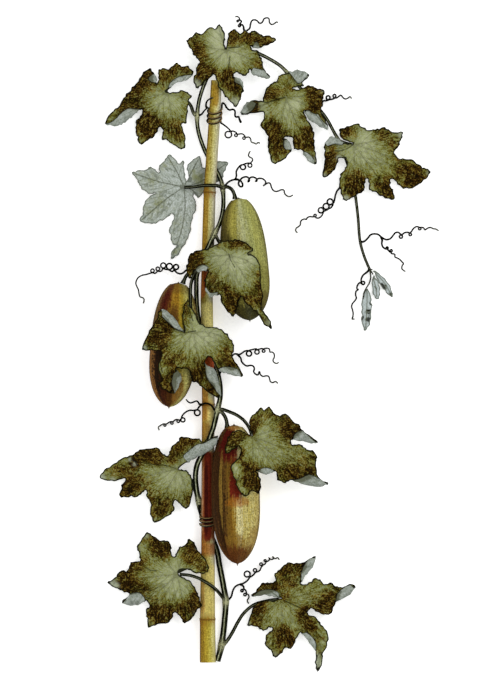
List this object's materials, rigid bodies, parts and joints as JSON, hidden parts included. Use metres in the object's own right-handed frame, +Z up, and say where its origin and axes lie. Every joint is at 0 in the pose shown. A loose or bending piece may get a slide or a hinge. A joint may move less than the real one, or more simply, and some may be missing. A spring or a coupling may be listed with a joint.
{
  "type": "climbing gourd vine",
  "caption": "Cut climbing gourd vine with long striped gourds, lobed leaves and coiled tendrils, wound round a bamboo cane and laid down flat.",
  "frame": {"origin": "centre of the bounding box across, at the height of the surface that the plant lies on", "axes": "+Y along the cane towards the vine's growing end, +Z up, away from the surface"},
  "size_m": [0.2952, 0.5718, 0.0489],
  "materials": {
    "leaf": "matt, with fine veins, paler underneath",
    "stem": "matt",
    "cane": "smooth, satin",
    "green_fruit": "smooth, satin, with lengthwise stripes",
    "ripe_fruit": "smooth, satin, with lengthwise stripes"
  },
  "bodies": {
    "root": {"bamboo_cane": "cane", "vine_stem": "stem", "fruit_upper": "green_fruit", "fruit_left": "ripe_fruit", "fruit_lower": "ripe_fruit", "leaf_01": "leaf", "leaf_02": "leaf", "leaf_03": "leaf", "leaf_04": "leaf", "leaf_05": "leaf", "leaf_06": "leaf", "leaf_07": "leaf", "leaf_08": "leaf", "leaf_09": "leaf", "leaf_10": "leaf", "leaf_11": "leaf", "young_leaf_1": "leaf", "young_leaf_2": "leaf", "young_leaf_3": "leaf"}
  },
  "joints": []
}
